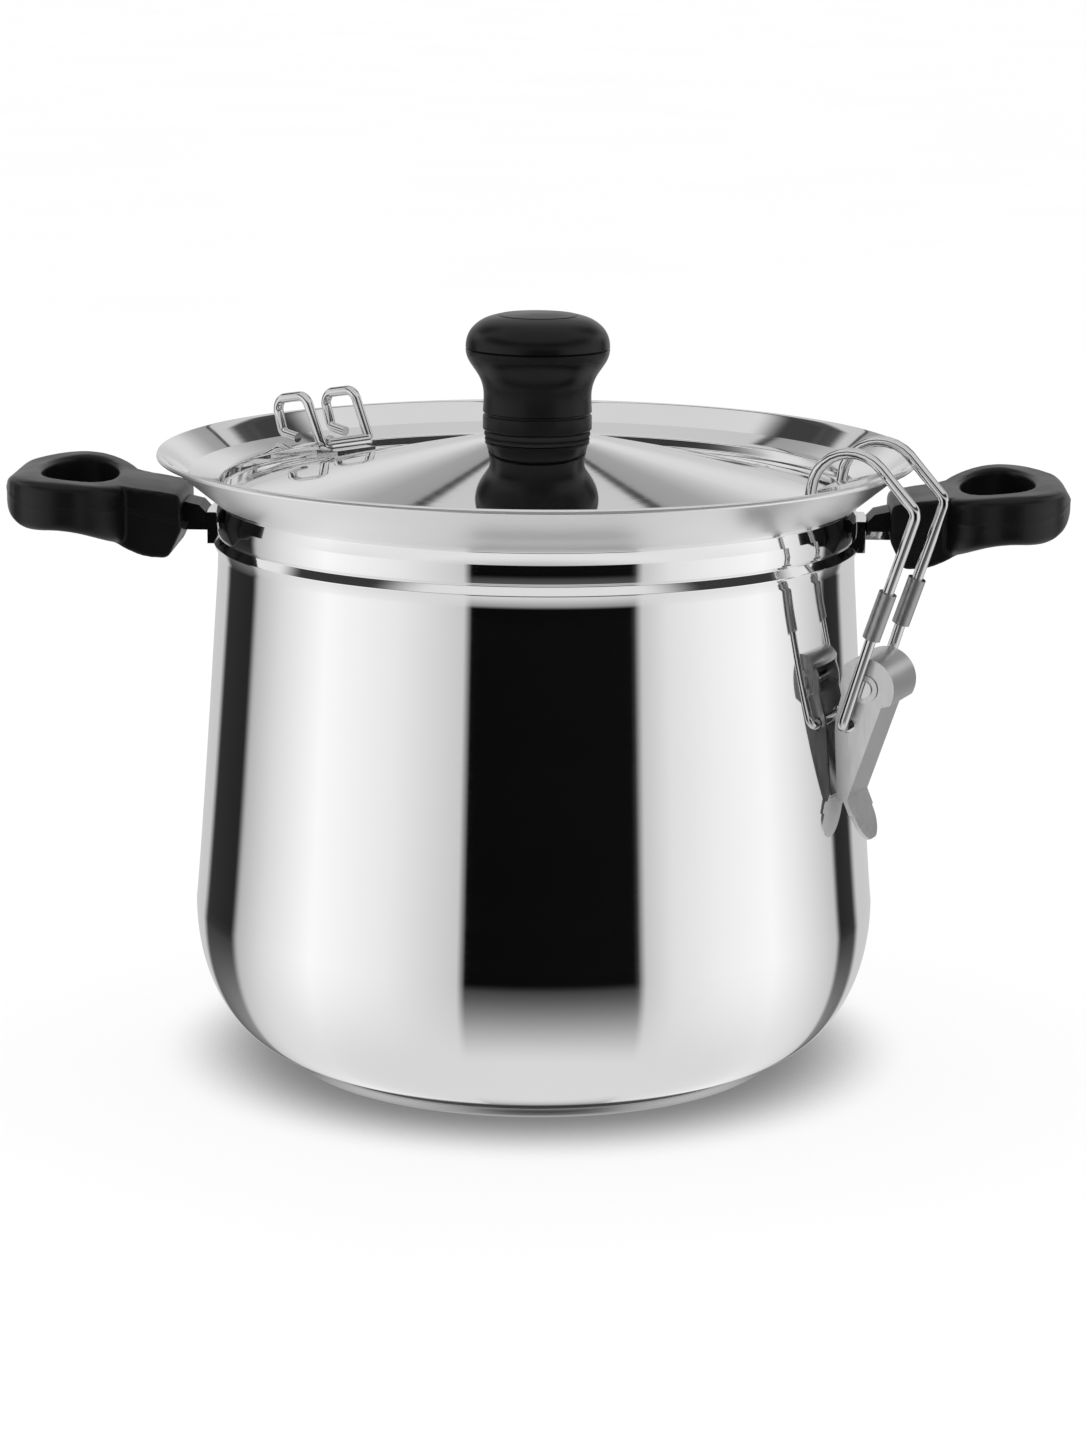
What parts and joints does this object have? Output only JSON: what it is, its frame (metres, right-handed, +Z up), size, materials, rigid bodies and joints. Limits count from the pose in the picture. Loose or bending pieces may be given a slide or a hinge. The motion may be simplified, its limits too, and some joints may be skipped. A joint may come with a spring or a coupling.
{
  "type": "stovetop pressure cooker",
  "caption": "Bellied stainless stovetop pot with a flared collar, lift-off lid, black knob and loop handles, a wire bail and lever lid clamp and a parked rear wire hook.",
  "frame": {"origin": "centre of the base's underside, on the pot's own axis", "axes": "+Z up along the pot's axis; +X towards the right-hand side handle; the lid clamp's bail is 21 degrees from +X towards -Y, the side seen from the front"},
  "size_m": [0.371, 0.2646, 0.2629],
  "materials": {
    "mirror_steel": "polished stainless",
    "polished_wire": "polished stainless",
    "satin_steel": "satin",
    "aluminium_core": "plain",
    "black_phenolic": "fine grain",
    "black_rubber": "satin",
    "brass_fitting": "turned"
  },
  "bodies": {
    "pot": {"pot_body": "mirror_steel", "base_core": "aluminium_core", "base_cap": "satin_steel", "right_handle": "black_phenolic", "left_handle": "black_phenolic", "right_handle_bracket": "mirror_steel", "left_handle_bracket": "mirror_steel", "right_handle_ferrule": "black_phenolic", "left_handle_ferrule": "black_phenolic", "handle_screws": "satin_steel"},
    "lid": {"lid": "mirror_steel", "lid_gasket": "black_rubber", "front_lug": "polished_wire", "rear_lug": "polished_wire", "knob_washer": "black_rubber", "knob_ring": "black_phenolic", "knob_grip": "black_phenolic", "knob_cap": "black_phenolic", "knob_top_disc": "black_phenolic", "vent_stud": "brass_fitting", "stud_seal": "black_rubber", "stud_nut": "satin_steel", "spring_retainer": "brass_fitting", "valve_spring": "satin_steel"},
    "relief_valve": {"valve_poppet": "brass_fitting"},
    "bail": {"bail_wire": "polished_wire", "bail_sleeves": "satin_steel", "draw_wire": "polished_wire"},
    "lever": {"clamp_lever": "satin_steel", "lever_rivet": "polished_wire", "rivet_washers": "satin_steel"},
    "saddle": {"lever_saddle": "satin_steel"},
    "hook": {"rear_hook": "polished_wire"}
  },
  "joints": [
    {"name": "lid_lift", "type": "slide", "parent": "pot", "child": "lid", "axis": [0, 0, 1], "range_m": [0, 0.032]},
    {"name": "valve_lift", "type": "slide", "parent": "lid", "child": "relief_valve", "axis": [0, 0, 1], "range_m": [0, 0.0015], "stiffness_N_per_m": 800, "springref_m": -0.0015, "deforming": ["valve_spring"]},
    {"name": "bail_swing", "type": "hinge", "parent": "lid", "child": "bail", "pos_m": [0.09943, -0.03817, 0.2065], "axis": [-0.3584, -0.9336, 0], "range_deg": [0, 95]},
    {"name": "lever_swing", "type": "hinge", "parent": "bail", "child": "lever", "pos_m": [0.11175, -0.0429, 0.1304], "axis": [-0.3584, -0.9336, 0], "range_deg": [0, 10]},
    {"name": "saddle_tilt", "type": "hinge", "parent": "lever", "child": "saddle", "pos_m": [0.11782, -0.04523, 0.1438], "axis": [-0.3584, -0.9336, 0], "range_deg": [0, 12]},
    {"name": "hook_swing", "type": "hinge", "parent": "lid", "child": "hook", "pos_m": [-0.07283, 0.06331, 0.207], "axis": [0.6561, 0.7547, 0], "range_deg": [0, 100]}
  ]
}
